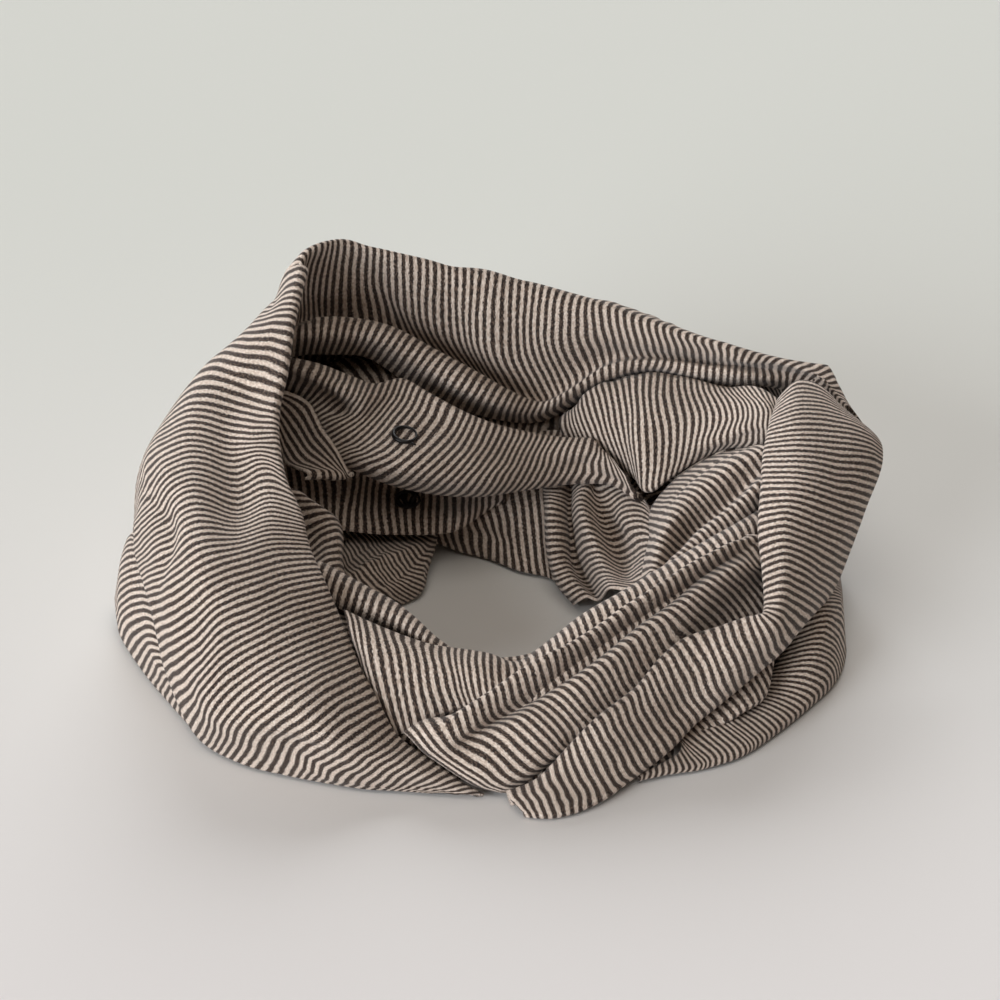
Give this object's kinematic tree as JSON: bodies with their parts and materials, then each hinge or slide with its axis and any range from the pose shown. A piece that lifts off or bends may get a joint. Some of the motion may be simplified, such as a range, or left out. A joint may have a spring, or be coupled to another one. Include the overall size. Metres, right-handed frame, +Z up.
{
  "type": "infinity scarf",
  "caption": "Soft striped infinity scarf wound into a loose ring and dropped flat, with folds round an open neck hole and small ring snaps on the inner flaps.",
  "frame": {"origin": "centre of the footprint, on the surface the scarf lies on", "axes": "+X to the right and +Y to the back as the scarf is laid out, +Z up"},
  "size_m": [0.3218, 0.2717, 0.1296],
  "materials": {
    "striped_jersey": "matt fine knit, dark brown and oatmeal stripes",
    "black_metal": "glossy black enamel"
  },
  "bodies": {
    "root": {"back_wrap": "striped_jersey", "front_roll": "striped_jersey", "front_sheet": "striped_jersey", "front_tuck": "striped_jersey", "hidden_layers": "striped_jersey", "inner_back_band": "striped_jersey", "inner_bunch": "striped_jersey", "inner_left_roll": "striped_jersey", "inner_right_folds": "striped_jersey", "left_under": "striped_jersey", "left_wrap": "striped_jersey", "pouch": "striped_jersey", "right_fold": "striped_jersey", "right_inner_roll": "striped_jersey", "right_under": "striped_jersey", "right_wrap": "striped_jersey", "small_flap": "striped_jersey", "snap_band": "striped_jersey", "snap_flap": "striped_jersey", "snap_lower": "black_metal", "snap_upper": "black_metal"}
  },
  "joints": []
}
